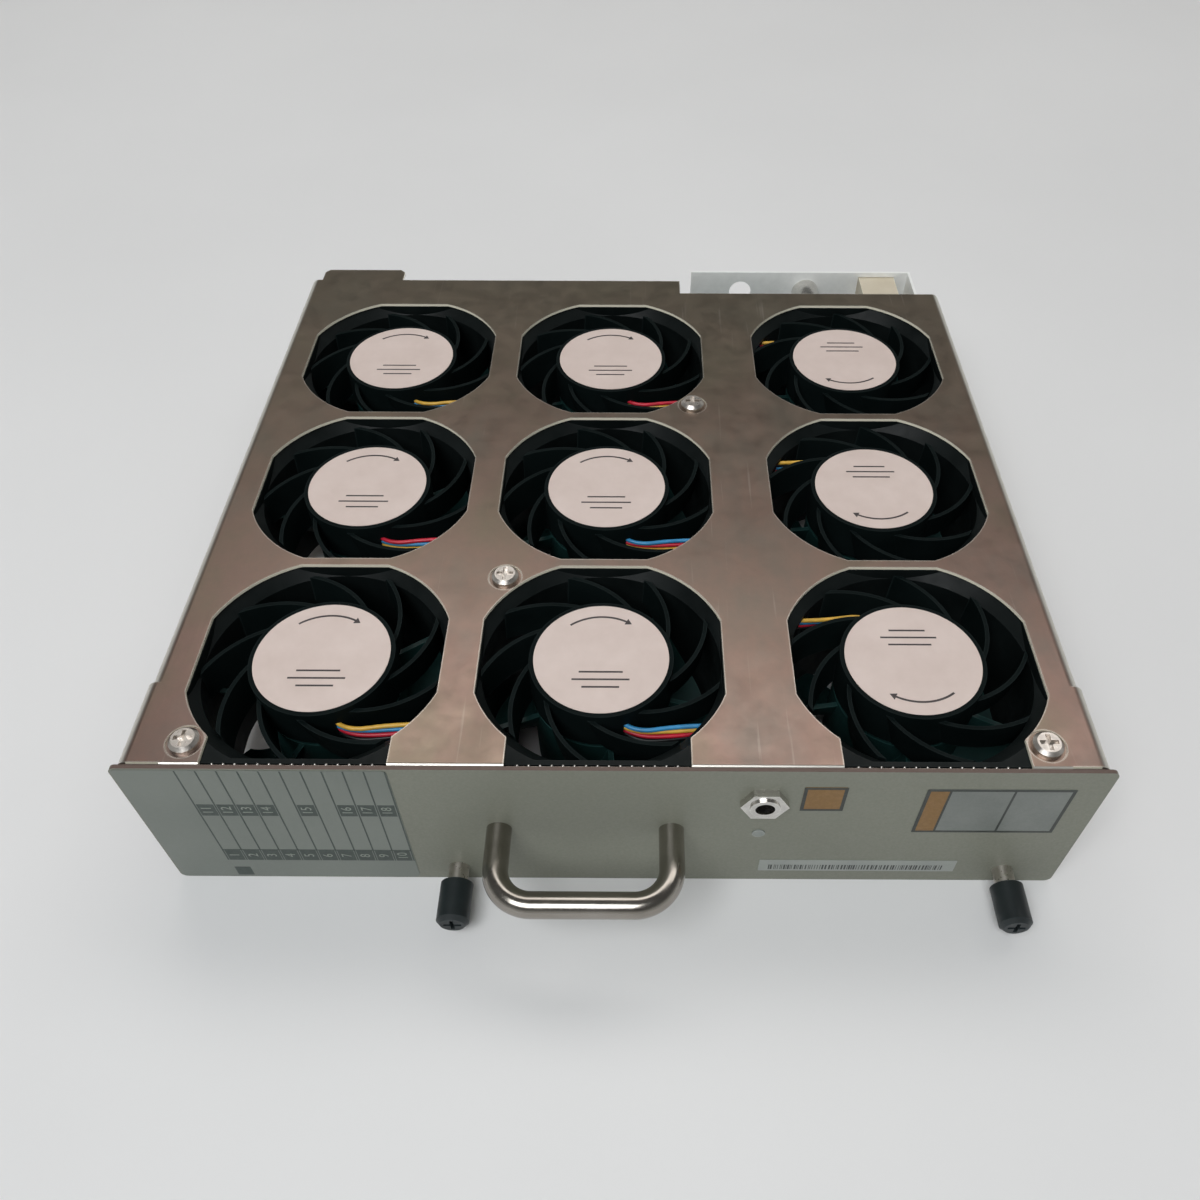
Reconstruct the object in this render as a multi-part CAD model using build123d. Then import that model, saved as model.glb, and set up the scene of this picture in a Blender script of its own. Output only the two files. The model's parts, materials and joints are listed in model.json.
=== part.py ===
from build123d import *
import os
from math import atan2, cos, degrees, radians, sin, sqrt

os.makedirs("parts", exist_ok=True)

# Front-loading tray of nine axial fans for an equipment shelf.
# Millimetres, front towards -Y and +Z up.
# The origin is under the middle of the outline, level with the panel's lower edge.

# Driving dimensions: the fans and the room around them
fan_side = 60.0
fan_depth = 38.0
fan_hole_inset = 5.0
fan_front_gap = 0.15
fan_row_gap = 0.5
left_margin = 8.1
left_aisle = 6.6
right_aisle = 14.3
right_margin = 7.2
duct_wall = 1.2
fan_hole_pitch = fan_side - 2 * fan_hole_inset
duct_radius = fan_side / 2 - duct_wall

# Folded sheet metal of the cover and the tray
sheet = 0.8
side_fold_radius = 2.8
tab_fold_radius = 0.9
cover_flange_drop = 11.0
body_width = left_margin + left_aisle + right_aisle + right_margin + 3 * fan_side
body_right_x = body_width / 2

# Front panel
panel_side_margin = 2.0
panel_skirt = 11.2
panel_thickness = 1.0
panel_corner_radius = 1.8
panel_length = body_width + 2 * panel_side_margin
panel_height = panel_skirt + fan_depth + 2 * sheet

# Depth of the tray from the panel to the rear plate, and the handle in front of it
board_gap = 2.4
board_thickness = 1.6
rear_depth = 16.65
handle_reach = 21.9
fan_rows_depth = 3 * fan_side + 2 * fan_row_gap
tray_reach = (panel_thickness + sheet + fan_front_gap + fan_rows_depth + board_gap + board_thickness
              + rear_depth)
panel_front_y = (handle_reach - tray_reach) / 2
panel_back_y = panel_front_y + panel_thickness
rear_y = panel_front_y + tray_reach

# Fits
running_fit = 0.05
seat_gap = 0.1
overrun = 2.0

# Places that follow from the driving dimensions
cover_top_z = panel_height
cover_under_z = cover_top_z - sheet
tray_floor_z = cover_under_z - fan_depth
tray_under_z = tray_floor_z - sheet
row_pitch = fan_side + fan_row_gap
front_row_y = panel_back_y + sheet + fan_front_gap + fan_side / 2
row_places = [front_row_y + row * row_pitch for row in range(3)]
left_fan_x = left_margin + fan_side / 2 - body_right_x
middle_fan_x = left_fan_x + fan_side + left_aisle
right_fan_x = middle_fan_x + fan_side + right_aisle
row_names = ["front", "middle", "back"]
# Each column is a place along X and the turn of its fans; the right column faces the other way
faces_back_angle = 180
column_places = [(left_fan_x, 0), (middle_fan_x, 0), (right_fan_x, faces_back_angle)]
fan_places = [(x, y, turn) for y in row_places for x, turn in column_places]


def fan_location(place):
    x, y, turn = place
    return Location((x, y, tray_floor_z), (0, 0, turn))


def box_between(low, high):
    size = [b - a for a, b in zip(low, high)]
    middle = [(a + b) / 2 for a, b in zip(low, high)]
    return Pos(*middle) * Box(*size)


def rod(radius, start, end, direction="z", at=(0, 0)):
    """A cylinder from start to end along one axis; at holds its other two coordinates in X, Y, Z order."""
    cylinder = Cylinder(radius, end - start, align=(Align.CENTER, Align.CENTER, Align.MIN))
    if direction == "z":
        return Pos(at[0], at[1], start) * cylinder
    if direction == "y":
        return Pos(at[0], start, at[1]) * Rot(-90, 0, 0) * cylinder
    return Pos(start, at[0], at[1]) * Rot(0, 90, 0) * cylinder


def fold_profile(run, drop, outside_radius):
    """Section of a right-angle fold with its outer corner at the origin, running to +X and dropping to -Y."""
    outer = Pos(run / 2, -drop / 2) * Rectangle(run, drop)
    outer = fillet(outer.vertices().sort_by(lambda v: v.X - v.Y)[0], outside_radius)
    inner = Pos((run + sheet) / 2, -(drop + sheet) / 2) * Rectangle(run - sheet, drop - sheet)
    inner = fillet(inner.vertices().sort_by(lambda v: v.X - v.Y)[0], outside_radius - sheet)
    return outer - inner


def side_fold(edge_x, top_z, drop, run, start_y, end_y):
    """Left-hand fold of a sheet: outer face at edge_x, flat run towards +X, flange downwards."""
    profile = Plane((edge_x, end_y, top_z), x_dir=(1, 0, 0), z_dir=(0, -1, 0)) * fold_profile(
        run, drop, side_fold_radius)
    return extrude(profile, end_y - start_y)


def front_fold(left_x, right_x, top_z, drop, run):
    """Tab folded down behind the panel, with its outer face on the panel's back."""
    profile = Plane((left_x, panel_back_y, top_z), x_dir=(0, 1, 0), z_dir=(1, 0, 0)) * fold_profile(
        run, drop, tab_fold_radius)
    return extrude(profile, right_x - left_x)


def upside_down(shape, low_z, high_z):
    return mirror(shape, Plane.XY.offset((low_z + high_z) / 2))


# Cover
opening_margin = 1.0
opening_clearance = 2.28
front_slot_margin = 9.45
corner_setback = 0.6
corner_flange_width = 8.6
shoulder_out = 0.9
shoulder_length = 23.3
cover_left_setback = 6.6
cover_right_setback = 14.3
bracket_width = 76.5
bracket_side_gap = 7.7
rear_step_gap = 4.3
tongue_inset = 3.9
tongue_width = 27.8
tongue_setback = 0.1
tongue_chamfer = 1.5
tab_drop = 7.0
screw_recess_radius = 4.25
screw_recess_depth = 0.35
opening_width = fan_side - 2 * opening_margin
opening_radius = duct_radius + opening_clearance
front_slot_width = fan_side - 2 * front_slot_margin
cover_left_y = rear_y - cover_left_setback
cover_right_y = rear_y - cover_right_setback
bracket_right_x = body_right_x - bracket_side_gap
bracket_left_x = bracket_right_x - bracket_width
rear_step_x = bracket_left_x - rear_step_gap
tongue_left_x = tongue_inset - body_right_x
tongue_right_x = tongue_left_x + tongue_width


def long_screw_places():
    """Corner holes that the long screws use: the two front corners of the tray and two beside the aisles."""
    half = fan_hole_pitch / 2
    front_y, middle_y, back_y = row_places
    return [(left_fan_x - half, front_y - half), (right_fan_x + half, front_y - half),
            (middle_fan_x - half, front_y + half), (middle_fan_x + half, back_y - half)]


# Screws, their holes and the nuts pressed into the tray's floor
screw_radius = 1.95
screw_hole_radius = screw_radius + seat_gap
pan_head_radius = 3.4
pan_head_height = 1.9
pan_head_chamfer = 0.8
recess_slot_length = 4.2
recess_slot_width = 1.1
recess_slot_depth = 1.1
nut_across_flats = 7.0
nut_height = 2.2
nut_shank_radius = 2.7
nut_pocket_radius = nut_across_flats / sqrt(3) + seat_gap


def fan_opening():
    return Rectangle(opening_width, opening_width) & Circle(opening_radius)


def airflow_cuts(low_z, high_z):
    """The nine clipped-circle openings, with the front row's run out to the front edge."""
    tool = extrude(Pos(0, 0, low_z) * fan_opening(), high_z - low_z)
    cuts = [Pos(x, y, 0) * tool for x, y, turn in fan_places]
    for x, turn in column_places:
        cuts.append(box_between((x - front_slot_width / 2, panel_front_y - overrun, low_z),
                                (x + front_slot_width / 2, front_row_y, high_z)))
    return cuts


def web_ranges():
    """X ranges of the sheet left between the front slots: left corner, two webs and right corner."""
    edges = [-body_right_x]
    for x, turn in column_places:
        edges += [x - front_slot_width / 2, x + front_slot_width / 2]
    edges.append(body_right_x)
    return list(zip(edges[0::2], edges[1::2]))


def tab_ranges():
    """X ranges of the folded front tabs: narrow ones at the corners, full width between the slots."""
    left_corner, left_web, right_web, right_corner = web_ranges()
    return [(left_corner[1] - corner_flange_width, left_corner[1]), left_web, right_web,
            (right_corner[0], right_corner[0] + corner_flange_width)]


def cover_flat():
    half = body_right_x - side_fold_radius
    flat_front_y = panel_back_y + corner_setback
    tab_start_y = panel_back_y + tab_fold_radius
    sheets = [
        box_between((-half, tab_start_y, cover_under_z), (half, cover_right_y, cover_top_z)),
        box_between((-half, front_row_y, cover_under_z), (rear_step_x, cover_left_y, cover_top_z)),
    ]
    corner_tabs = [tab_ranges()[0], tab_ranges()[-1]]
    sheets.append(box_between((-half, flat_front_y, cover_under_z),
                              (corner_tabs[0][0], front_row_y, cover_top_z)))
    sheets.append(box_between((corner_tabs[1][1], flat_front_y, cover_under_z),
                              (half, front_row_y, cover_top_z)))
    tongue_end_y = rear_y - tongue_setback
    tongue = Polyline((tongue_left_x, cover_left_y - sheet), (tongue_left_x, tongue_end_y - tongue_chamfer),
                      (tongue_left_x + tongue_chamfer, tongue_end_y),
                      (tongue_right_x - tongue_chamfer, tongue_end_y),
                      (tongue_right_x, tongue_end_y - tongue_chamfer),
                      (tongue_right_x, cover_left_y - sheet), close=True)
    sheets.append(extrude(Pos(0, 0, cover_under_z) * make_face(tongue), sheet))
    return sheets


def cover_sides():
    run = side_fold_radius + shoulder_out
    edge = body_right_x
    start_y = panel_back_y + corner_setback
    shoulder_y = panel_front_y + shoulder_length
    left = [side_fold(-edge - shoulder_out, cover_top_z, cover_flange_drop, run, start_y, shoulder_y),
            side_fold(-edge, cover_top_z, cover_flange_drop, run, shoulder_y, cover_left_y)]
    right = [side_fold(-edge - shoulder_out, cover_top_z, cover_flange_drop, run, start_y, shoulder_y),
             side_fold(-edge, cover_top_z, cover_flange_drop, run, shoulder_y, cover_right_y)]
    shoulder_web = box_between((-edge, shoulder_y - sheet, cover_top_z - cover_flange_drop),
                               (-edge + sheet, shoulder_y, cover_top_z - side_fold_radius))
    bridge = box_between((-edge - shoulder_out + sheet / 2, shoulder_y - sheet, cover_top_z - cover_flange_drop),
                         (-edge + sheet, shoulder_y, cover_top_z - side_fold_radius))
    left += [shoulder_web, bridge]
    right += [shoulder_web, bridge]
    return left + [mirror(piece, Plane.YZ) for piece in right]


def make_top_cover():
    cover = Part() + cover_flat() + cover_sides()
    for left_x, right_x in tab_ranges():
        cover += front_fold(left_x, right_x, cover_top_z, tab_drop, side_fold_radius)
    cover -= airflow_cuts(tray_under_z - overrun, cover_top_z + overrun)
    for x, y in long_screw_places():
        cover -= rod(screw_hole_radius, cover_under_z - overrun, cover_top_z + overrun, at=(x, y))
        cover -= rod(screw_recess_radius, cover_top_z - screw_recess_depth, cover_top_z + overrun, at=(x, y))
    return cover


# Tray
tray_wall_top_z = cover_top_z - side_fold_radius
tray_half = body_right_x - sheet
corner_relief = 3.0


def tray_floor():
    half = tray_half - side_fold_radius
    tab_start_y = panel_back_y + tab_fold_radius
    return [
        box_between((-half, tab_start_y, tray_under_z), (half, cover_right_y, tray_floor_z)),
        box_between((-half, front_row_y, tray_under_z),
                    (rear_step_x, cover_left_y - tab_fold_radius, tray_floor_z)),
        box_between((bracket_left_x, front_row_y, tray_under_z), (bracket_right_x, rear_y, tray_floor_z)),
    ]


def make_bottom_tray():
    wall_height = tray_wall_top_z - tray_under_z
    low, high = tray_under_z, tray_floor_z
    left = side_fold(-tray_half, high, wall_height, side_fold_radius + sheet,
                     panel_back_y + corner_setback, cover_left_y)
    right = side_fold(-tray_half, high, wall_height, side_fold_radius + sheet,
                      panel_back_y + corner_setback, cover_right_y)
    tray = Part() + tray_floor()
    tray += upside_down(left, low, high)
    tray += upside_down(mirror(right, Plane.YZ), low, high)
    for left_x, right_x in tab_ranges():
        tray += upside_down(front_fold(left_x, right_x, high, tab_drop, side_fold_radius), low, high)
    rear_wall = Plane((-tray_half + corner_relief, cover_left_y, high), x_dir=(0, -1, 0),
                      z_dir=(-1, 0, 0)) * fold_profile(side_fold_radius, cover_under_z - tray_under_z,
                                                       tab_fold_radius)
    tray += upside_down(extrude(rear_wall, -(rear_step_x + tray_half - corner_relief)), low, high)
    tray -= airflow_cuts(tray_under_z - overrun, tray_floor_z + sheet / 4)
    tray += [upside_down(front_fold(left_x, right_x, high, tab_drop, side_fold_radius), low, high)
             for left_x, right_x in tab_ranges()]
    for x, y in long_screw_places():
        tray -= rod(nut_shank_radius + running_fit, tray_under_z - overrun, tray_floor_z + overrun, at=(x, y))
    return tray


# Heights inside the fan, from its underside
base_recess = 0.25
base_height = 11.0
base_top = fan_depth - base_recess
base_bottom = base_top - base_height
impeller_bottom = 3.0
rotor_gap = 1.45
impeller_top = base_bottom - rotor_gap
hub_floor = 2.5
stator_floor_gap = 5.0
stator_cap_gap = 1.3
stator_bottom = impeller_bottom + hub_floor + stator_floor_gap
stator_top = impeller_top - stator_cap_gap
bearing_tube_proud = 1.0
bearing_tube_bottom = stator_bottom - bearing_tube_proud

# Fan housing, and the guide vanes that carry the motor base; both with the axis at the origin
frame_flange = 4.5
frame_corner_chamfer = 2.0
mouth_depth = 3.2
mouth_radius = duct_radius + mouth_depth
base_radius = 17.3
base_wall = 1.2
vane_count = 9
vane_first_angle = 5.0
vane_sweep_angle = 22.0
vane_thickness = 1.0
vane_drop = 2.0
vane_height = 9.0
vane_lean_share = 0.22
vane_bow = 0.5
shaft_radius = 1.5
bearing_tube_radius = 3.4
lead_slot_width = 5.0
lead_height = 4.4
lead_width = 1.2
lead_exit_x = 26.0
lead_exit_y = -16.0
lead_gap = 0.15
lead_top = fan_depth - frame_flange - lead_gap
lead_bottom = lead_top - lead_height
waist_width = 2 * (duct_radius + duct_wall)
waist_reach = waist_width / sqrt(2) - fan_side / 2


def polar(radius, angle):
    return (radius * cos(radians(angle)), radius * sin(radians(angle)))


def make_vanes():
    """Guide vanes: each is rolled about a leaning axis and sweeps round from the motor base to the duct."""
    inner, outer = base_radius - base_wall / 2, duct_radius - seat_gap
    radii = [inner, (inner + outer) / 2 - vane_bow, outer]
    arc = ThreePointArc(*[polar(r, a) for r, a in zip(radii, (-vane_sweep_angle, 0, vane_sweep_angle))])
    top = fan_depth - vane_drop
    bottom = top - vane_height
    axis = Plane(origin=(arc.arc_center.X, arc.arc_center.Y, top), z_dir=(0, vane_lean_share, -1))
    roll = axis * (Cylinder(arc.radius + vane_thickness / 2, fan_side)
                   - Cylinder(arc.radius - vane_thickness / 2, fan_side))
    ring = rod(outer, bottom, top) - rod(inner, bottom, top)
    sector = box_between((0, -inner / 2, bottom), (outer, outer / 2, top))
    vane = roll & (ring & sector)
    pitch = 360 / vane_count
    return [Rot(0, 0, vane_first_angle + turn * pitch) * vane for turn in range(vane_count)]


def make_frame_shell():
    outline = Rectangle(fan_side, fan_side)
    flange = extrude(chamfer(outline.vertices(), frame_corner_chamfer), frame_flange)
    waist = extrude(Rectangle(fan_side, fan_side) & Rot(0, 0, 45) * Rectangle(waist_width, waist_width),
                    fan_depth)
    shell = waist + flange + Pos(0, 0, fan_depth - frame_flange) * flange
    shell -= rod(duct_radius, -overrun, fan_depth + overrun)
    mouth = Pos(0, 0, fan_depth - mouth_depth) * Cone(duct_radius, mouth_radius, mouth_depth,
                                                       align=(Align.CENTER, Align.CENTER, Align.MIN))
    shell -= mouth & extrude(Rectangle(2 * duct_radius, 2 * duct_radius), fan_depth)
    return shell


def make_motor_base():
    base = rod(base_radius, base_bottom, base_top)
    base += rod(bearing_tube_radius, bearing_tube_bottom, base_bottom)
    return base - rod(shaft_radius + running_fit, bearing_tube_bottom - overrun, shaft_top + running_fit)


def make_fan_frame():
    """Housing with the port where the leads leave the duct."""
    port = box_between((duct_radius * sin(radians(45)), lead_exit_y - lead_slot_width / 2, lead_bottom - lead_gap),
                       (fan_side / 2 + overrun, lead_exit_y + lead_slot_width / 2, fan_depth - frame_flange))
    return make_frame_shell() - port


def make_guide_vanes():
    """Motor base on its vanes, with the slot where the leads leave the base; the vanes end at the duct's wall."""
    start_x, start_y = lead_route_start()
    leg = Vector(lead_bow_x - start_x, lead_bow_y - start_y)
    slot = box_between((-lead_gap, -lead_width / 2 - lead_gap, lead_bottom - lead_gap),
                       (leg.length, lead_width / 2 + lead_gap, lead_top + lead_gap))
    placed_slot = Pos(start_x, start_y, 0) * Rot(0, 0, degrees(atan2(leg.Y, leg.X))) * slot
    return make_motor_base() + make_vanes() - placed_slot


# Impeller, in the fan's own place
hub_radius = 17.0
hub_wall = 2.0
tip_gap = 0.7
blade_count = 5
blade_edge_gap = 0.6
blade_pitch_angle = 48.0
blade_roll_radius = 24.0
blade_thickness = 1.2
blade_twist_share = 0.45
impeller_rest_angle = 23.0
hub_inner_radius = hub_radius - hub_wall
shaft_seat = 0.8
shaft_top = base_top - base_wall
tip_radius = duct_radius - tip_gap


def make_blade():
    """A blade rolled about an axis that leans across the chord, so that it is steeper at the hub than at the tip."""
    low, high = impeller_bottom + blade_edge_gap, impeller_top - blade_edge_gap
    span_middle = (hub_radius + tip_radius) / 2
    chord = Vector(0, cos(radians(blade_pitch_angle)), sin(radians(blade_pitch_angle)))
    normal = Vector(0, -sin(radians(blade_pitch_angle)), cos(radians(blade_pitch_angle)))
    axis = (Vector(1, 0, 0) + chord * blade_twist_share).normalized()
    roll_centre = Vector(span_middle, 0, (low + high) / 2) + normal * blade_roll_radius
    roll_plane = Plane(origin=roll_centre, x_dir=normal, z_dir=axis)
    roll = roll_plane * (Cylinder(blade_roll_radius + blade_thickness / 2, 2 * fan_side)
                         - Cylinder(blade_roll_radius - blade_thickness / 2, 2 * fan_side))
    swept_ring = rod(tip_radius, low, high) - rod(hub_radius - blade_thickness / 2, low, high)
    region = box_between((0, -tip_radius / sqrt(2), low), (tip_radius, tip_radius / sqrt(2), high))
    return roll & (swept_ring & region)


def make_impeller():
    hub = rod(hub_radius, impeller_bottom, impeller_top)
    hub -= rod(hub_inner_radius, impeller_bottom + hub_floor, impeller_top + overrun)
    hub -= rod(shaft_radius, impeller_bottom + shaft_seat, impeller_top)
    blade = make_blade()
    return hub + [Rot(0, 0, turn * 360 / blade_count) * blade for turn in range(blade_count)]


def make_shaft():
    return rod(shaft_radius, impeller_bottom + shaft_seat, shaft_top)


# Stator on the bearing tube
stator_air_gap = 1.4
stator_reach = hub_inner_radius - stator_air_gap
stator_arm = 6.5
coil_width = 9.5
coil_start = 5.0
coil_end = 11.0
coil_inset = 2.0


def make_stator():
    height = stator_top - stator_bottom
    core = Rectangle(2 * stator_reach, stator_arm) + Rectangle(stator_arm, 2 * stator_reach)
    stator = extrude(Pos(0, 0, stator_bottom) * core, height)
    coil = Pos((coil_start + coil_end) / 2, 0, (stator_bottom + stator_top) / 2) * Box(
        coil_end - coil_start, coil_width, height - coil_inset)
    stator += [Rot(0, 0, 90 * turn) * coil for turn in range(4)]
    return stator - rod(bearing_tube_radius + running_fit, stator_bottom - overrun, stator_top + overrun)


# Leads: four wires each, one above the other, run as one flat strip
lead_start_angle = -70.0
lead_start_radius = base_radius - base_wall / 2
lead_bend_radius = 3.0
lead_lane = 2.0
lead_bow_x = 8.6
lead_bow_y = -17.9
lead_middle_x = 17.5
lead_middle_y = -17.2
header_depth = 6.0
header_height = 20.0
header_wall = 1.0


def lead_route_start():
    return polar(lead_start_radius, lead_start_angle)


# Control board behind the back row
board_left_margin = 10.1
board_right_margin = 11.1
board_edge_gap = 4.0
board_left_x = board_left_margin - body_right_x
board_right_x = body_right_x - board_right_margin
board_bottom_z = tray_floor_z + board_edge_gap
board_top_z = cover_under_z - board_edge_gap
board_front_y = row_places[2] + fan_side / 2 + board_gap
board_back_y = board_front_y + board_thickness


def lead_lanes():
    """Lane in its aisle for each fan: the front fans take the lanes furthest from their own column."""
    left_middle = left_fan_x + fan_side / 2 + left_aisle / 2
    right_middle = middle_fan_x + fan_side / 2 + right_aisle / 2
    lanes = []
    for row in range(3):
        lanes.append(left_middle + (1 - row) * lead_lane)
        lanes.append(right_middle - (row + 1 / 2) * lead_lane)
        lanes.append(right_middle + (row + 1 / 2) * lead_lane)
    return lanes


def make_lead(place, lane_x):
    x, y, turn = place
    side = -1 if turn else 1
    own = [lead_route_start(), (lead_bow_x, lead_bow_y), (lead_middle_x, lead_middle_y),
           (lead_exit_x, lead_exit_y)]
    points = [(x + side * px, y + side * py) for px, py in own]
    points += [(lane_x, points[-1][1]), (lane_x, board_front_y - header_depth + header_wall)]
    radii = [lead_bend_radius * 2, lead_bend_radius * 4, lead_bend_radius * 4, lead_bend_radius]
    radii[-1] = min(lead_bend_radius, abs(lane_x - points[3][0]) / 2)
    z = tray_floor_z + (lead_top + lead_bottom) / 2
    path = FilletPolyline(*[(px, py, z) for px, py in points], radius=radii)
    section = Plane(path @ 0, x_dir=(0, 0, 1), z_dir=path % 0) * Rectangle(lead_height, lead_width)
    return sweep(section, path)


def make_headers():
    """Sockets on the board, one in each aisle, that take the ends of the leads."""
    lanes = lead_lanes()
    middle = tray_floor_z + (lead_top + lead_bottom) / 2
    headers = []
    for group in (lanes[0::3], lanes[1::3] + lanes[2::3]):
        block = box_between((min(group) - lead_lane / 2, board_front_y - header_depth,
                             middle - header_height / 2),
                            (max(group) + lead_lane / 2, board_front_y, middle + lead_height))
        for lane in group:
            block -= box_between((lane - lead_width / 2, board_front_y - header_depth - overrun,
                                  middle - lead_height / 2),
                                 (lane + lead_width / 2, board_front_y - header_depth + header_wall,
                                  middle + lead_height / 2))
        headers.append(block)
    return headers


# Rear connector, guide bush and their bracket
bush_inset = 35.9
bush_drop = 7.4
bush_radius = 4.65
bush_length = 12.4
bush_neck_radius = 3.7
bush_bore_radius = 2.6
guide_hole_inset = 58.9
guide_hole_radius = 3.8
connector_inset = 5.3
connector_width = 12.3
connector_drop = 1.8
connector_height = 24.0
connector_gap = 0.2
contact_window = 1.9
contact_pitch = 3.0
contact_rows = 7
contact_columns = 3
contact_depth = 5.0
bracket_foot = 11.0
bracket_inner_y = rear_y - sheet
bush_x = bracket_right_x - bush_inset
bush_z = cover_top_z - bush_drop
guide_hole_x = bracket_right_x - guide_hole_inset
connector_right_x = bracket_right_x - connector_inset
connector_left_x = connector_right_x - connector_width
connector_top_z = cover_top_z - connector_drop
connector_bottom_z = connector_top_z - connector_height


def make_rear_bracket():
    """Upright plate that carries the connector, with a return at its right end and a foot on the tray."""
    low = tray_floor_z
    wall_profile = Plane((bracket_left_x, rear_y, low), x_dir=(0, -1, 0), z_dir=(-1, 0, 0)) * fold_profile(
        bracket_foot, cover_top_z - low, tab_fold_radius)
    plate = mirror(extrude(wall_profile, bracket_left_x - bracket_right_x), Plane.XY.offset(low))
    return_profile = Plane((bracket_right_x, rear_y, low + side_fold_radius), x_dir=(-1, 0, 0),
                           z_dir=(0, 0, -1)) * fold_profile(bracket_foot, rear_y - cover_right_y,
                                                            tab_fold_radius)
    side = extrude(return_profile, -(cover_top_z - low - side_fold_radius))
    bracket = plate + side
    bracket -= rod(bush_neck_radius + running_fit, bracket_inner_y - overrun, rear_y + overrun, "y",
                   (bush_x, bush_z))
    bracket -= rod(guide_hole_radius, bracket_inner_y - overrun, rear_y + overrun, "y",
                   (guide_hole_x, bush_z))
    bracket -= box_between((connector_left_x - connector_gap, bracket_inner_y - overrun,
                            connector_bottom_z - connector_gap),
                           (connector_right_x + connector_gap, rear_y + overrun,
                            connector_top_z + connector_gap))
    return bracket


def make_guide_bush():
    bush = rod(bush_radius, bracket_inner_y - bush_length, bracket_inner_y, "y", (bush_x, bush_z))
    bush = chamfer(bush.edges().group_by(Axis.Y)[0], sheet)
    bush += rod(bush_neck_radius, bracket_inner_y - sheet, rear_y, "y", (bush_x, bush_z))
    return bush - rod(bush_bore_radius, bracket_inner_y - bush_length - overrun, rear_y + overrun, "y",
                      (bush_x, bush_z))


def make_rear_connector():
    body = box_between((connector_left_x, board_back_y, connector_bottom_z),
                       (connector_right_x, rear_y, connector_top_z))
    middle_x = (connector_left_x + connector_right_x) / 2
    middle_z = (connector_bottom_z + connector_top_z) / 2
    for column in range(contact_columns):
        for row in range(contact_rows):
            x = middle_x + (column - (contact_columns - 1) / 2) * contact_pitch
            z = middle_z + (row - (contact_rows - 1) / 2) * contact_pitch
            body -= box_between((x - contact_window / 2, rear_y - contact_depth, z - contact_window / 2),
                                (x + contact_window / 2, rear_y + overrun, z + contact_window / 2))
    return body


def make_control_board():
    board = box_between((board_left_x, board_front_y, board_bottom_z),
                        (board_right_x, board_back_y, board_top_z))
    for x, z in spacer_places():
        board -= rod(spacer_hole_radius + seat_gap, board_front_y - overrun, board_back_y + overrun, "y",
                     (x, z))
    return board


# Spacers between the board and the rear walls, each with its screw
spacer_across_flats = 5.5
spacer_hole_radius = 1.45
spacer_board_inset = 10.0
spacer_step_inset = 11.6
spacer_bracket_inset = 11.1
spacer_floor_gap = 9.0
spacer_head_radius = 2.6
spacer_head_height = 1.4
spacer_x_left = [board_left_x + spacer_board_inset, rear_step_x - spacer_step_inset]
spacer_x_right = [bracket_left_x + spacer_bracket_inset]
spacer_z = tray_floor_z + spacer_floor_gap


def spacer_places():
    return [(x, spacer_z) for x in spacer_x_left + spacer_x_right]


def make_board_spacers():
    spacers = []
    for x in spacer_x_left + spacer_x_right:
        end_y = cover_left_y - sheet if x in spacer_x_left else bracket_inner_y
        plane = Plane((x, end_y, spacer_z), x_dir=(1, 0, 0), z_dir=(0, -1, 0))
        plan = RegularPolygon(spacer_across_flats / 2, 6, major_radius=False)
        spacers.append(extrude(plane * plan, end_y - board_back_y)
                       - rod(spacer_hole_radius + running_fit, board_back_y - overrun, end_y - sheet, "y",
                             (x, spacer_z)))
    return spacers


def make_board_screws():
    screws = []
    for x, z in spacer_places():
        screws.append(rod(spacer_head_radius, board_front_y - spacer_head_height, board_front_y, "y", (x, z))
                      + rod(spacer_hole_radius, board_front_y - spacer_head_height / 2,
                            board_back_y + 2 * board_thickness, "y", (x, z)))
    return screws


# Handle; the head of its right-hand screw stands beside the narrow waist of the middle fan
handle_radius = 3.0
handle_span = 40.5
handle_screw_clearance = 1.1736
handle_below_middle = 0.2
handle_bend_radius = 8.7
handle_hole_radius = 1.5
handle_hole_depth = 8.0
handle_screw_reach = 6.0
handle_washer_radius = 3.2
handle_screw_head = 1.8
handle_right_x = middle_fan_x + waist_reach + handle_washer_radius + handle_screw_clearance
handle_left_x = handle_right_x - handle_span
handle_z = panel_height / 2 - handle_below_middle


def make_handle():
    bar_y = panel_front_y - handle_reach + handle_radius
    path = FilletPolyline((handle_left_x, panel_front_y, handle_z), (handle_left_x, bar_y, handle_z),
                          (handle_right_x, bar_y, handle_z), (handle_right_x, panel_front_y, handle_z),
                          radius=handle_bend_radius)
    bar = sweep(Plane(path @ 0, z_dir=path % 0) * Circle(handle_radius), path)
    for x in (handle_left_x, handle_right_x):
        bar -= rod(handle_hole_radius + running_fit, panel_front_y - handle_hole_depth,
                   panel_front_y + overrun, "y", (x, handle_z))
    return bar


def make_handle_screws():
    screws = []
    for x in (handle_left_x, handle_right_x):
        screws.append(rod(handle_hole_radius, panel_front_y - handle_screw_reach, panel_back_y + sheet / 2,
                          "y", (x, handle_z))
                      + rod(handle_washer_radius, panel_back_y, panel_back_y + handle_screw_head, "y",
                            (x, handle_z)))
    return screws


# Wrist-strap socket and light pipe
socket_inset = 76.1
socket_drop = 12.3
socket_bore_radius = 2.25
socket_thread_radius = 3.4
socket_body_radius = 4.4
socket_body_length = 10.5
socket_nut_across_flats = 9.6
socket_nut_height = 1.8
socket_rim = 0.5
light_pipe_drop = 14.6
light_pipe_radius = 1.5
light_pipe_length = 9.0
light_pipe_proud = 0.3
socket_x = panel_length / 2 - socket_inset
socket_z = cover_top_z - socket_drop
light_pipe_z = socket_z - light_pipe_drop


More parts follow.
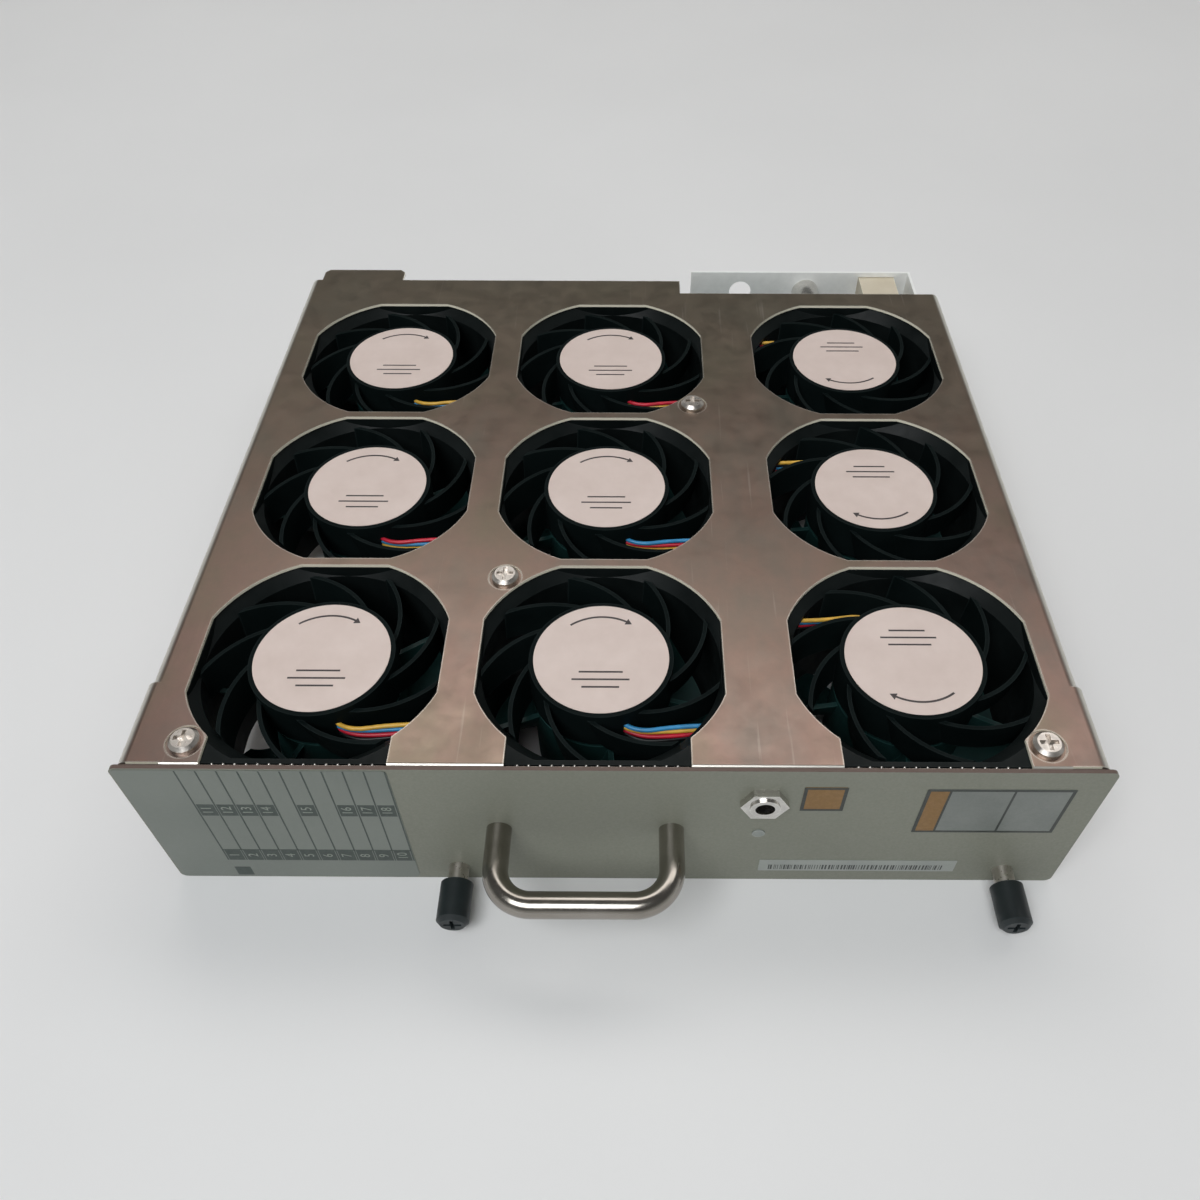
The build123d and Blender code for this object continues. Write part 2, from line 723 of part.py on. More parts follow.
def make_strap_socket():
    front_y = panel_front_y - socket_nut_height - socket_rim
    body = rod(socket_thread_radius, front_y, panel_back_y + sheet, "y", (socket_x, socket_z))
    body += rod(socket_body_radius, panel_back_y, panel_back_y + socket_body_length, "y",
                (socket_x, socket_z))
    return body - rod(socket_bore_radius, front_y - overrun, panel_back_y + socket_body_length - sheet, "y",
                      (socket_x, socket_z))


def make_socket_nut():
    plan = RegularPolygon(socket_nut_across_flats / 2, 6, major_radius=False)
    plane = Plane((socket_x, panel_front_y, socket_z), x_dir=(1, 0, 0), z_dir=(0, -1, 0))
    nut = extrude(plane * plan, socket_nut_height)
    return nut - rod(socket_thread_radius + running_fit, panel_front_y - socket_nut_height - overrun,
                     panel_front_y + overrun, "y", (socket_x, socket_z))


def make_light_pipe():
    return rod(light_pipe_radius, panel_front_y - light_pipe_proud, panel_back_y + light_pipe_length, "y",
               (socket_x, light_pipe_z))


# Captive thumbscrews below the tray
thumb_left_gap = 11.8
thumb_right_inset = 13.7
thumb_z = 5.8
thumb_travel = 4.5
ferrule_radius = 2.5
ferrule_reach = 5.0
ferrule_bore_radius = 2.0
ferrule_collar_radius = 3.3
ferrule_collar = 1.0
ferrule_floor = 0.8
knob_radius = 4.0
knob_length = 10.5
knob_gap = 0.3
knob_bore_radius = 2.7
knob_floor_gap = 0.8
knob_shoulder = 1.0
knob_slot_length = 4.4
knob_slot_width = 1.0
knob_slot_depth = 1.4
thumb_screw_radius = 1.5
thumb_shank_radius = 1.25
thumb_tip = 5.0
thumb_tip_chamfer = 0.5
ring_radius = 2.6
ring_thickness = 0.8
spring_radius = 1.9
spring_wire = 0.3
thumb_places = {"left": handle_left_x - thumb_left_gap, "right": panel_length / 2 - thumb_right_inset}
knob_bore_depth = thumb_travel + knob_floor_gap
ferrule_front_y = panel_front_y - ferrule_reach
ferrule_back_y = panel_back_y + ferrule_collar
knob_back_y = ferrule_front_y + knob_gap
knob_front_y = knob_back_y - knob_length
knob_floor_y = knob_back_y - knob_bore_depth
thumb_tip_y = ferrule_back_y + ring_thickness + thumb_tip


def make_ferrule(x):
    at = (x, thumb_z)
    ferrule = rod(ferrule_radius, ferrule_front_y, ferrule_back_y, "y", at)
    ferrule += rod(ferrule_collar_radius, panel_back_y, ferrule_back_y, "y", at)
    ferrule -= rod(ferrule_bore_radius, ferrule_front_y - overrun, ferrule_back_y - ferrule_floor, "y", at)
    return ferrule - rod(thumb_shank_radius + running_fit, ferrule_front_y, ferrule_back_y + overrun, "y", at)


def make_knob(x):
    at = (x, thumb_z)
    knob = rod(knob_radius, knob_front_y, knob_back_y, "y", at)
    knob = chamfer(knob.edges().group_by(Axis.Y)[0], knob_shoulder)
    knob -= rod(knob_bore_radius, knob_floor_y, knob_back_y + overrun, "y", at)
    knob -= rod(thumb_shank_radius, knob_floor_y - knob_shoulder, knob_back_y, "y", at)
    for turn in (0, 90):
        slot = Pos(x, knob_front_y, thumb_z) * Rot(0, turn, 0) * Box(
            knob_slot_length, 2 * knob_slot_depth, knob_slot_width)
        knob -= slot
    return knob


def make_thumb_screw(x):
    """Captive screw: a thinner shank runs through the ferrule and the threaded end stands behind it."""
    at = (x, thumb_z)
    thread = rod(thumb_screw_radius, ferrule_back_y + ring_thickness, thumb_tip_y, "y", at)
    thread = chamfer(thread.edges().group_by(Axis.Y)[-1], thumb_tip_chamfer)
    return thread + rod(thumb_shank_radius, knob_floor_y - knob_shoulder, thumb_tip_y - thumb_tip, "y", at)


def make_retaining_ring(x):
    at = (x, thumb_z)
    ring = rod(ring_radius, ferrule_back_y, ferrule_back_y + ring_thickness, "y", at)
    return ring - rod(thumb_shank_radius + running_fit, ferrule_back_y - overrun,
                      ferrule_back_y + ring_thickness + overrun, "y", at)


def make_spring(x):
    """Plain sleeve with the outline of the coil spring that holds the knob out."""
    at = (x, thumb_z)
    start, end = knob_floor_y + seat_gap / 2, ferrule_back_y - ferrule_floor - seat_gap / 2
    return rod(spring_radius, start, end, "y", at) - rod(spring_radius - spring_wire, start - overrun,
                                                          end + overrun, "y", at)


# Contact strips between the front tabs
strip_height = 3.0
strip_thickness = 0.2
strip_end_gap = 0.6
strip_top_gap = 0.3
finger_pitch = 2.5
finger_width = 1.5
finger_depth = 0.45
finger_height = 1.6


def make_contact_strips():
    strips = []
    top_z = cover_top_z - strip_top_gap
    for x, turn in column_places:
        half = front_slot_width / 2 - strip_end_gap
        strip = box_between((x - half, panel_back_y, top_z - strip_height),
                            (x + half, panel_back_y + strip_thickness, top_z))
        count = int(2 * half / finger_pitch)
        profile = Polyline((panel_back_y, top_z), (panel_back_y + finger_depth, top_z - finger_height / 4),
                           (panel_back_y + finger_depth, top_z - finger_height / 2),
                           (panel_back_y, top_z - finger_height), close=True)
        for index in range(count):
            left_x = x + (index - (count - 1) / 2) * finger_pitch - finger_width / 2
            finger = extrude(Plane((left_x, 0, 0), x_dir=(0, 1, 0), z_dir=(1, 0, 0)) * make_face(profile),
                             finger_width)
            strip += finger
        strips.append(strip)
    return strips


def make_front_panel():
    middle_z = panel_height / 2
    plane = Plane((0, panel_back_y, middle_z), x_dir=(1, 0, 0), z_dir=(0, -1, 0))
    panel = extrude(plane * RectangleRounded(panel_length, panel_height, panel_corner_radius),
                    panel_thickness)
    holes = [(handle_left_x, handle_z, handle_hole_radius + running_fit),
             (handle_right_x, handle_z, handle_hole_radius + running_fit),
             (socket_x, socket_z, socket_thread_radius + running_fit),
             (socket_x, light_pipe_z, light_pipe_radius + running_fit)]
    holes += [(x, thumb_z, ferrule_radius) for x in thumb_places.values()]
    for x, z, radius in holes:
        panel -= rod(radius, panel_front_y - overrun, panel_back_y + overrun, "y", (x, z))
    return panel


# Long cover screws and their nuts
def make_cover_screws():
    head_bottom = cover_top_z - screw_recess_depth
    screws = []
    for x, y in long_screw_places():
        head = rod(pan_head_radius, head_bottom, head_bottom + pan_head_height)
        head = chamfer(head.edges().group_by(Axis.Z)[-1], pan_head_chamfer)
        for turn in (0, 90):
            head -= Pos(0, 0, head_bottom + pan_head_height) * Rot(0, 0, turn) * Box(
                recess_slot_length, recess_slot_width, 2 * recess_slot_depth)
        shank = rod(screw_radius, tray_under_z + seat_gap, head_bottom + recess_slot_depth / 2)
        screws.append(Pos(x, y, 0) * (head + shank))
    return screws


def make_cover_nuts():
    """Clinch nuts: each shank fills its hole in the tray's floor and the body stands on top of it."""
    plan = RegularPolygon(nut_across_flats / 2, 6, major_radius=False)
    nut = extrude(Pos(0, 0, tray_floor_z) * plan, nut_height) + rod(nut_shank_radius, tray_under_z, tray_floor_z)
    nut -= rod(screw_radius + running_fit, tray_under_z - overrun, tray_floor_z + nut_height + overrun)
    return [Pos(x, y, 0) * nut for x, y in long_screw_places()]


def frame_with_holes(frame, place):
    """The fan's housing in its place, with the corner holes that its screws use and the pockets of their nuts."""
    x, y, turn = place
    placed = fan_location(place) * frame
    half = fan_side / 2
    for hole_x, hole_y in long_screw_places():
        if abs(hole_x - x) < half and abs(hole_y - y) < half:
            placed -= rod(screw_hole_radius, tray_floor_z - overrun, cover_under_z + overrun,
                          at=(hole_x, hole_y))
            placed -= rod(nut_pocket_radius, tray_floor_z - overrun, tray_floor_z + nut_height + seat_gap,
                          at=(hole_x, hole_y))
    return placed


def save(name, shapes):
    group = shapes if isinstance(shapes, list) else [shapes]
    solids = [solid for shape in group for solid in shape.solids()]
    export_step(solids[0] if len(solids) == 1 else Compound(children=solids), f"parts/{name}.step")


save("top_cover", make_top_cover())
save("bottom_tray", make_bottom_tray())
save("front_panel", make_front_panel())
save("contact_strips", make_contact_strips())
save("handle", make_handle())
save("handle_screws", make_handle_screws())
save("cover_screws", make_cover_screws())
save("cover_nuts", make_cover_nuts())
save("strap_socket", make_strap_socket())
save("socket_nut", make_socket_nut())
save("light_pipe", make_light_pipe())
save("rear_bracket", make_rear_bracket())
save("guide_bush", make_guide_bush())
save("rear_connector", make_rear_connector())
save("control_board", make_control_board())
save("board_spacers", make_board_spacers())
save("board_screws", make_board_screws())
save("lead_headers", make_headers())
save("fan_leads", [make_lead(place, lane) for place, lane in zip(fan_places, lead_lanes())])

fan_frame = make_fan_frame()
guide_vanes = make_guide_vanes()
for row, name in enumerate(row_names):
    places = fan_places[3 * row:3 * row + 3]
    save(f"fan_frames_{name}", [frame_with_holes(fan_frame, place) for place in places])
    save(f"guide_vanes_{name}", [fan_location(place) * guide_vanes for place in places])

stator = make_stator()
save("motor_stators", [fan_location(place) * stator for place in fan_places])

impeller = make_impeller()
shaft = make_shaft()
for number, place in enumerate(fan_places, start=1):
    turned = fan_location(place) * Rot(0, 0, number * impeller_rest_angle)
    save(f"impeller_{number}", turned * impeller)
    save(f"rotor_shaft_{number}", turned * shaft)

for side, x in thumb_places.items():
    save(f"thumb_ferrule_{side}", make_ferrule(x))
    save(f"thumb_knob_{side}", make_knob(x))
    save(f"thumb_screw_{side}", make_thumb_screw(x))
    save(f"thumb_spring_{side}", make_spring(x))
    save(f"thumb_ring_{side}", make_retaining_ring(x))
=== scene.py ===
import json
import math
import random

import bmesh
import bpy
from mathutils import Matrix, Vector


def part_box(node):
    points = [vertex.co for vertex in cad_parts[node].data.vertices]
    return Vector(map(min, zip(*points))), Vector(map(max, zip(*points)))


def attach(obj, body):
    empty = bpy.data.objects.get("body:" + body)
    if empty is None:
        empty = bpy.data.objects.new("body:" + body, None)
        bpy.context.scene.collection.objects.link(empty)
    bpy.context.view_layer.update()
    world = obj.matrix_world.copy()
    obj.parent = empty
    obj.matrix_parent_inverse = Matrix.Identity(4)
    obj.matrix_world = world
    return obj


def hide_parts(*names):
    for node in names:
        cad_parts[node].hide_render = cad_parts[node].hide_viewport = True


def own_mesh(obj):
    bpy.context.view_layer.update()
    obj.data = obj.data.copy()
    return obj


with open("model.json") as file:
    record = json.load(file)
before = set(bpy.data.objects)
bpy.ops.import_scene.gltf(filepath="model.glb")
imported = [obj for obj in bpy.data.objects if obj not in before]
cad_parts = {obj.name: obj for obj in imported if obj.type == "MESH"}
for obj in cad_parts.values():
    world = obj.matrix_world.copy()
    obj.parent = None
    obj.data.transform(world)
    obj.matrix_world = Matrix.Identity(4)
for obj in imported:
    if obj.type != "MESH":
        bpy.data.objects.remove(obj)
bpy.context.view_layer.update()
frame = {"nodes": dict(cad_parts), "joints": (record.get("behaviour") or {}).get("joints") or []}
random.seed(7)

MM = 0.001

# Places taken from the frame
panel_low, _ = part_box("front_panel")
tray_low, tray_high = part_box("bottom_tray")
frames_low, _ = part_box("fan_frames_front")
headers_low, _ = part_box("lead_headers")
fan_axes = [Vector(joint["pos_m"]) for joint in frame["joints"] if joint["name"].startswith("fan_spin")]
columns_x = sorted({round(axis.x / MM, 2) for axis in fan_axes})
right_column_x = max(axis.x for axis in fan_axes)
panel_front = panel_low[1]
fan_floor = frames_low[2]


def turned_round(axis):
    """Whether a fan is mounted half a turn round, as the right column is."""
    return abs(axis.x - right_column_x) < MM


# Node helpers
def set_stops(colour_ramp, stops):
    """Gives a colour ramp its colours at places from 0 to 1."""
    while len(colour_ramp.elements) < len(stops):
        colour_ramp.elements.new(0.5)
    for element, (place, colour) in zip(colour_ramp.elements, stops):
        element.position = place
        element.color = (*colour, 1)


class Shader:
    """A material's node tree with short calls for the nodes that the materials share."""

    def __init__(self, name):
        self.material = bpy.data.materials.new(name)
        self.material.use_nodes = True
        self.tree = self.material.node_tree
        self.surface = self.tree.nodes["Principled BSDF"]
        self.place = self.add("ShaderNodeTexCoord").outputs["Object"]

    def add(self, kind, **settings):
        node = self.tree.nodes.new(kind)
        for key, value in settings.items():
            setattr(node, key, value)
        return node

    def link(self, source, target):
        self.tree.links.new(source, target)

    def set(self, **values):
        """Sets the shader's own sockets; Coat_Weight=1.0 sets Coat Weight."""
        for key, value in values.items():
            self.surface.inputs[key.replace("_", " ")].default_value = value
        return self

    def noise(self, size, detail=3.0, roughness=0.5, stretch=(1, 1, 1), shift=0.0):
        """Noise whose grains are about size metres across, longer along an axis with a small stretch."""
        mapping = self.add("ShaderNodeMapping")
        mapping.inputs["Scale"].default_value = [s / size for s in stretch]
        mapping.inputs["Location"].default_value = [shift] * 3
        self.link(self.place, mapping.inputs["Vector"])
        node = self.add("ShaderNodeTexNoise")
        node.inputs["Scale"].default_value = 1.0
        node.inputs["Detail"].default_value = detail
        node.inputs["Roughness"].default_value = roughness
        self.link(mapping.outputs["Vector"], node.inputs["Vector"])
        return node.outputs["Fac"]

    def ramp(self, value, stops):
        """Colours at places of value from 0 to 1."""
        node = self.add("ShaderNodeValToRGB")
        set_stops(node.color_ramp, stops)
        self.link(value, node.inputs["Fac"])
        return node.outputs["Color"]

    def grey(self, value, low, high, start=0.3, end=0.7):
        """Runs from low to high while value runs from start to end."""
        node = self.add("ShaderNodeMapRange")
        node.inputs["From Min"].default_value = start
        node.inputs["From Max"].default_value = end
        node.inputs["To Min"].default_value = low
        node.inputs["To Max"].default_value = high
        self.link(value, node.inputs["Value"])
        return node.outputs["Result"]

    def mix(self, factor, first, second):
        """Blends two colours, each a socket or a tuple."""
        node = self.add("ShaderNodeMix", data_type="RGBA")
        for value, socket in ((factor, node.inputs[0]), (first, node.inputs[6]), (second, node.inputs[7])):
            if isinstance(value, bpy.types.NodeSocket):
                self.link(value, socket)
            elif isinstance(value, tuple):
                socket.default_value = (*value, 1)
            else:
                socket.default_value = value
        return node.outputs[2]

    def math(self, operation, first, second=0.0):
        node = self.add("ShaderNodeMath", operation=operation)
        for value, socket in ((first, node.inputs[0]), (second, node.inputs[1])):
            if isinstance(value, bpy.types.NodeSocket):
                self.link(value, socket)
            else:
                socket.default_value = value
        return node.outputs[0]

    def facing_up(self):
        """How far the surface faces along Z, from -1 to 1."""
        split = self.add("ShaderNodeSeparateXYZ")
        self.link(self.add("ShaderNodeNewGeometry").outputs["Normal"], split.inputs[0])
        return split.outputs["Z"]

    def along(self, axis):
        """The place along an axis of the frame, in metres."""
        split = self.add("ShaderNodeSeparateXYZ")
        self.link(self.place, split.inputs[0])
        return split.outputs[axis]

    def worn_edges(self, reach):
        """1 on sharp outside edges, by the difference between the surface and a rounded copy of it."""
        bevel = self.add("ShaderNodeBevel", samples=4)
        bevel.inputs["Radius"].default_value = reach
        dot = self.add("ShaderNodeVectorMath", operation="DOT_PRODUCT")
        self.link(bevel.outputs["Normal"], dot.inputs[0])
        self.link(self.add("ShaderNodeNewGeometry").outputs["Normal"], dot.inputs[1])
        return self.grey(dot.outputs["Value"], 1.0, 0.0, 0.82, 0.995)

    def bump(self, *layers):
        """Layers of (height, strength, depth in metres), one on top of the other."""
        normal = None
        for height, strength, depth in layers:
            node = self.add("ShaderNodeBump")
            node.inputs["Strength"].default_value = strength
            node.inputs["Distance"].default_value = depth
            self.link(height, node.inputs["Height"])
            if normal:
                self.link(normal, node.inputs["Normal"])
            normal = node.outputs["Normal"]
        self.link(normal, self.surface.inputs["Normal"])
        return self

    def colour(self, socket):
        self.link(socket, self.surface.inputs["Base Color"])
        return self

    def rough(self, socket):
        self.link(socket, self.surface.inputs["Roughness"])
        return self


# Materials. The cover's cut edges get a painted highlight near the middle, out to the reach set below, which leaves out
# its folded sides.
cut_edge_reach = 0.1065
zinc_speck = (0.17, 0.15, 0.13)
zinc_scratch = (0.50, 0.46, 0.42)
zinc_worn = (0.62, 0.58, 0.52)
# Colour of the painted highlight where the sheet is bent
zinc_bend_highlight = (0.78, 0.76, 0.70)


def zinc_sheet(name, warm, cool, olive, rough_low, rough_high, metallic, cut_edge_highlight=None):
    """Zinc-plated steel: cloudy plating that turns olive towards the rear, rolling lines, scratches and a painted
    highlight where the sheet is bent.

    Cut edges can have a painted highlight of their own."""
    m = Shader(name)
    clouds = m.noise(0.034, 4, 0.6, (1, 0.7, 1))
    patches = m.noise(0.09, 2, 0.5, shift=3.7)
    base = m.ramp(clouds, [(0.34, cool), (0.48, warm), (0.64, olive)])
    base = m.mix(m.grey(patches, 0.0, 0.45, 0.42, 0.72), base, olive)
    rear_olive = tuple(channel * share for channel, share in zip(olive, (0.86, 0.97, 0.92)))
    base = m.mix(m.grey(m.along("Y"), 0.0, 0.75, -0.06, 0.10), base, rear_olive)
    speckle = m.noise(0.0022, 3, 0.7, shift=1.3)
    base = m.mix(m.grey(speckle, 0.0, 0.16, 0.35, 0.75), base, zinc_speck)
    scratch = m.noise(0.0012, 2, 0.5, (1, 0.035, 1), 9.1)
    base = m.mix(m.grey(scratch, 0.0, 0.28, 0.68, 0.8), base, zinc_scratch)
    base = m.mix(m.worn_edges(0.0006), base, zinc_worn)
    up = m.facing_up()
    # Painted highlight where the sheet is bent: paler where the surface turns from facing up to facing sideways
    bend_highlight = m.math("MULTIPLY", m.grey(up, 0.85, 0.0, 0.93, 0.995), m.grey(up, 0.0, 1.0, 0.1, 0.4))
    base = m.mix(bend_highlight, base, zinc_bend_highlight)
    # Painted highlight: faces that stand nearly upright within reach of the middle, the cut edges of the openings, turn
    # pale and lose their metal
    if cut_edge_highlight:
        rim_highlight = m.math("MULTIPLY", m.math("LESS_THAN", m.math("ABSOLUTE", up), 0.4),
                     m.math("LESS_THAN", m.math("ABSOLUTE", m.along("X")), cut_edge_reach))
        base = m.mix(rim_highlight, base, cut_edge_highlight)
        m.link(m.grey(rim_highlight, metallic, 0.0, 0.0, 1.0), m.surface.inputs["Metallic"])
    else:
        m.set(Metallic=metallic)
    m.colour(base)
    m.rough(m.grey(m.noise(0.006, 4, 0.6, shift=5.0), rough_low, rough_high))
    rolled = m.noise(0.0009, 2, 0.5, (1, 0.05, 1), 2.0)
    return m.bump((rolled, 0.12, 0.00008), (speckle, 0.18, 0.0001)).material


def panel_paint():
    """Matt powder coat over a steel panel whose sheared edges show a brown primer."""
    m = Shader("panel_paint").set(Metallic=0.0)
    tone = m.noise(0.06, 2, 0.5)
    base = m.ramp(tone, [(0.3, (0.188, 0.194, 0.154)), (0.7, (0.214, 0.220, 0.176))])
    grain = m.noise(0.0007, 3, 0.65)
    base = m.mix(m.grey(grain, 0.0, 0.18), base, (0.155, 0.165, 0.14))
    scuff = m.noise(0.004, 5, 0.75, (1, 1, 0.4), 6.0)
    base = m.mix(m.grey(scuff, 0.0, 0.25, 0.66, 0.8), base, (0.27, 0.28, 0.24))
    up = m.math("GREATER_THAN", m.facing_up(), 0.8)
    m.colour(m.mix(up, base, (0.125, 0.085, 0.070)))
    m.rough(m.grey(grain, 0.42, 0.62))
    return m.bump((m.noise(0.0009, 2, 0.5, shift=4.0), 0.22, 0.00012), (grain, 0.1, 0.00005)).material


def film():
    """Printed polyester film laid on the panel, a little glossier than the coat."""
    m = Shader("panel_film").set(Metallic=0.0, Coat_Weight=0.25, Coat_Roughness=0.25)
    base = m.ramp(m.noise(0.05, 2, 0.5, shift=2.0), [(0.3, (0.125, 0.145, 0.124)), (0.7, (0.160, 0.180, 0.156))])
    dust = m.noise(0.0011, 4, 0.7)
    m.colour(m.mix(m.grey(dust, 0.0, 0.2, 0.55, 0.8), base, (0.24, 0.26, 0.23)))
    m.rough(m.grey(dust, 0.3, 0.42))
    return m.bump((m.noise(0.012, 2, 0.4), 0.1, 0.0003)).material


def ink(name, colour):
    """Printing ink, slightly uneven."""
    m = Shader(name).set(Metallic=0.0, Roughness=0.45)
    wear = m.noise(0.0012, 4, 0.7, shift=1.0)
    lighter = tuple(min(1, c * 1.35 + 0.03) for c in colour)
    m.colour(m.mix(m.grey(wear, 0.0, 0.5, 0.45, 0.75), colour, lighter))
    return m.bump((wear, 0.1, 0.00003)).material


def paper(name, colour, tint):
    """Coated label stock, faintly mottled."""
    m = Shader(name).set(Metallic=0.0, Coat_Weight=0.15, Coat_Roughness=0.3)
    m.colour(m.ramp(m.noise(0.009, 4, 0.6), [(0.3, colour), (0.7, tint)]))
    fibre = m.noise(0.0006, 3, 0.6, shift=2.0)
    m.rough(m.grey(fibre, 0.38, 0.55))
    return m.bump((fibre, 0.12, 0.00004)).material


def polished_bar():
    """Polished round steel with fine drawing lines and a few dull spots."""
    m = Shader("handle_steel").set(Metallic=1.0)
    clouds = m.noise(0.008, 4, 0.6, (0.4, 1, 1))
    m.colour(m.ramp(clouds, [(0.3, (0.30, 0.275, 0.245)), (0.7, (0.40, 0.375, 0.34))]))
    m.rough(m.grey(m.noise(0.002, 4, 0.7, (0.3, 1, 1)), 0.14, 0.24))
    return m.bump((m.noise(0.0005, 2, 0.5, (0.06, 1, 1)), 0.04, 0.00002)).material


def plated(name, dark, light, rough_low=0.25, rough_high=0.42, metallic=1.0):
    """Plated hardware with lighter edges."""
    m = Shader(name).set(Metallic=metallic)
    m.colour(m.mix(m.worn_edges(0.0003), m.ramp(m.noise(0.003, 4, 0.6), [(0.3, dark), (0.7, light)]),
                   tuple(min(1, c * 1.25) for c in light)))
    m.rough(m.grey(m.noise(0.0008, 3, 0.6), rough_low, rough_high))
    return m.bump((m.noise(0.0004, 2, 0.5), 0.1, 0.00003)).material


def moulded(name, dark, light, rough_low=0.35, rough_high=0.5, grain=0.0005, shine=0.5):
    """Moulded plastic with a fine spark-eroded grain and rubbed edges."""
    m = Shader(name).set(Metallic=0.0, Specular_IOR_Level=shine)
    base = m.ramp(m.noise(0.012, 3, 0.6), [(0.3, dark), (0.7, light)])
    rubbed = tuple(min(1, c * 1.6 + 0.004) for c in light)
    m.colour(m.mix(m.worn_edges(0.0004), base, rubbed))
    m.rough(m.grey(m.noise(0.004, 3, 0.6, shift=3.0), rough_low, rough_high))
    return m.bump((m.noise(grain, 2, 0.5), 0.15, 0.00004)).material


def lead_plastic(name, colour):
    """Thin wire insulation, slightly glossy."""
    m = Shader(name).set(Metallic=0.0)
    m.colour(m.ramp(m.noise(0.003, 2, 0.5), [(0.3, colour), (0.7, tuple(c * 0.7 for c in colour))]))
    m.rough(m.grey(m.noise(0.002, 2, 0.5), 0.28, 0.42))
    return m.bump((m.noise(0.0008, 2, 0.5), 0.1, 0.00003)).material


def laminate():
    """Green solder mask with fainter lines of copper beneath."""
    m = Shader("board_green").set(Metallic=0.0, Roughness=0.35)
    lines = m.noise(0.0016, 1, 0.2, (1, 1, 0.12), 4.0)
    m.colour(m.ramp(lines, [(0.48, (0.008, 0.06, 0.035)), (0.52, (0.015, 0.12, 0.06))]))
    return m.bump((lines, 0.3, 0.00004)).material


def wound_core():
    """Copper windings on a stator."""
    m = Shader("stator_core").set(Metallic=0.4, Roughness=0.45)
    turns = m.noise(0.0005, 1, 0.3, (0.1, 0.1, 1))
    m.colour(m.ramp(turns, [(0.4, (0.10, 0.04, 0.015)), (0.6, (0.34, 0.14, 0.05))]))
    return m.bump((turns, 0.4, 0.0001)).material


# The cover's last colour is the painted highlight on its cut edges
zinc = zinc_sheet("zinc_steel", (0.295, 0.196, 0.166), (0.235, 0.188, 0.164), (0.252, 0.200, 0.152), 0.30, 0.42,
                  metallic=0.92, cut_edge_highlight=(0.95, 0.90, 0.74))
zinc_tray = zinc_sheet("zinc_steel_tray", (0.30, 0.23, 0.195), (0.27, 0.22, 0.19), (0.27, 0.22, 0.165), 0.32, 0.45,
                       metallic=0.9)
bracket_zinc = plated("bracket_steel", (0.86, 0.87, 0.85), (0.94, 0.95, 0.93), 0.45, 0.6, metallic=0.0)
fan_black = moulded("fan_plastic", (0.004, 0.006, 0.006), (0.009, 0.012, 0.012), 0.35, 0.5, shine=0.12)
vane_black = moulded("vane_plastic", (0.003, 0.006, 0.006), (0.006, 0.010, 0.010), 0.45, 0.6, shine=0.05)
# Black rotor plastic with a teal tint that is a painted reflection
rotor_black_teal_reflection = moulded("rotor_plastic", (0.006, 0.022, 0.021), (0.011, 0.040, 0.037), 0.35, 0.5, shine=0.25)
screw_zinc = plated("screw_steel", (0.52, 0.48, 0.44), (0.68, 0.64, 0.60))
nickel = plated("socket_metal", (0.60, 0.58, 0.55), (0.78, 0.76, 0.72), 0.14, 0.28)
strip_copper = plated("spring_strip", (0.62, 0.50, 0.42), (0.86, 0.76, 0.68), 0.3, 0.45)
spring_wire = plated("spring_wire", (0.40, 0.39, 0.38), (0.60, 0.58, 0.56), 0.2, 0.35)

node_materials = {
    "top_cover": zinc, "bottom_tray": zinc_tray, "front_panel": panel_paint(),
    "contact_strips": strip_copper, "handle": polished_bar(), "handle_screws": screw_zinc,
    "cover_screws": screw_zinc, "cover_nuts": screw_zinc, "strap_socket": nickel, "socket_nut": nickel,
    "light_pipe": moulded("lens", (0.20, 0.225, 0.21), (0.25, 0.27, 0.25), 0.15, 0.25),
    "rear_bracket": bracket_zinc, "guide_bush": nickel,
    "rear_connector": moulded("connector_cream", (0.62, 0.55, 0.42), (0.70, 0.63, 0.50)),
    "control_board": laminate(), "board_spacers": nickel, "board_screws": screw_zinc,
    "lead_headers": moulded("header_plastic", (0.60, 0.56, 0.45), (0.68, 0.64, 0.54)),
    "motor_stators": wound_core(),
}
for row in ("front", "middle", "back"):
    node_materials["fan_frames_" + row] = fan_black
    node_materials["guide_vanes_" + row] = vane_black
for number in range(1, len(fan_axes) + 1):
    node_materials[f"impeller_{number}"] = rotor_black_teal_reflection
    node_materials[f"rotor_shaft_{number}"] = spring_wire
knob_slate = moulded("knob_slate", (0.006, 0.010, 0.011), (0.014, 0.021, 0.023), 0.4, 0.55, 0.0007)
for side in ("left", "right"):
    node_materials["thumb_knob_" + side] = knob_slate
    for part in ("ferrule", "screw", "ring"):
        node_materials[f"thumb_{part}_{side}"] = screw_zinc
    node_materials["thumb_spring_" + side] = spring_wire
for node, material in node_materials.items():
    for material_slot in frame["nodes"][node].material_slots:
        material_slot.material = material


# Mesh helpers
def tray_piece(name, data, place=None):
    """A visible piece that rides on the tray."""
    piece = bpy.data.objects.new(name, data)
    bpy.context.collection.objects.link(piece)
    if place is not None:
        piece.matrix_world = place
    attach(piece, "tray")
    return piece


def mesh_piece(name, bm, material, smooth=False):
    """A piece on the tray from a finished bmesh."""
    mesh = bpy.data.meshes.new(name)
    bmesh.ops.recalc_face_normals(bm, faces=bm.faces)
    bm.to_mesh(mesh)
    bm.free()
    for polygon in mesh.polygons:
        polygon.use_smooth = smooth
    mesh.materials.append(material)
    return tray_piece(name, mesh)


def prism(bm, outline, offset, transform):
    """A thin plate: outline in its own plane, from 0 to offset along its normal."""
    low = [bm.verts.new(transform @ Vector((x, y, 0))) for x, y in outline]
    high = [bm.verts.new(transform @ Vector((x, y, offset))) for x, y in outline]
    bm.faces.new(low)
    bm.faces.new(reversed(high))
    for i in range(len(outline)):
        j = (i + 1) % len(outline)
        bm.faces.new((low[j], low[i], high[i], high[j]))


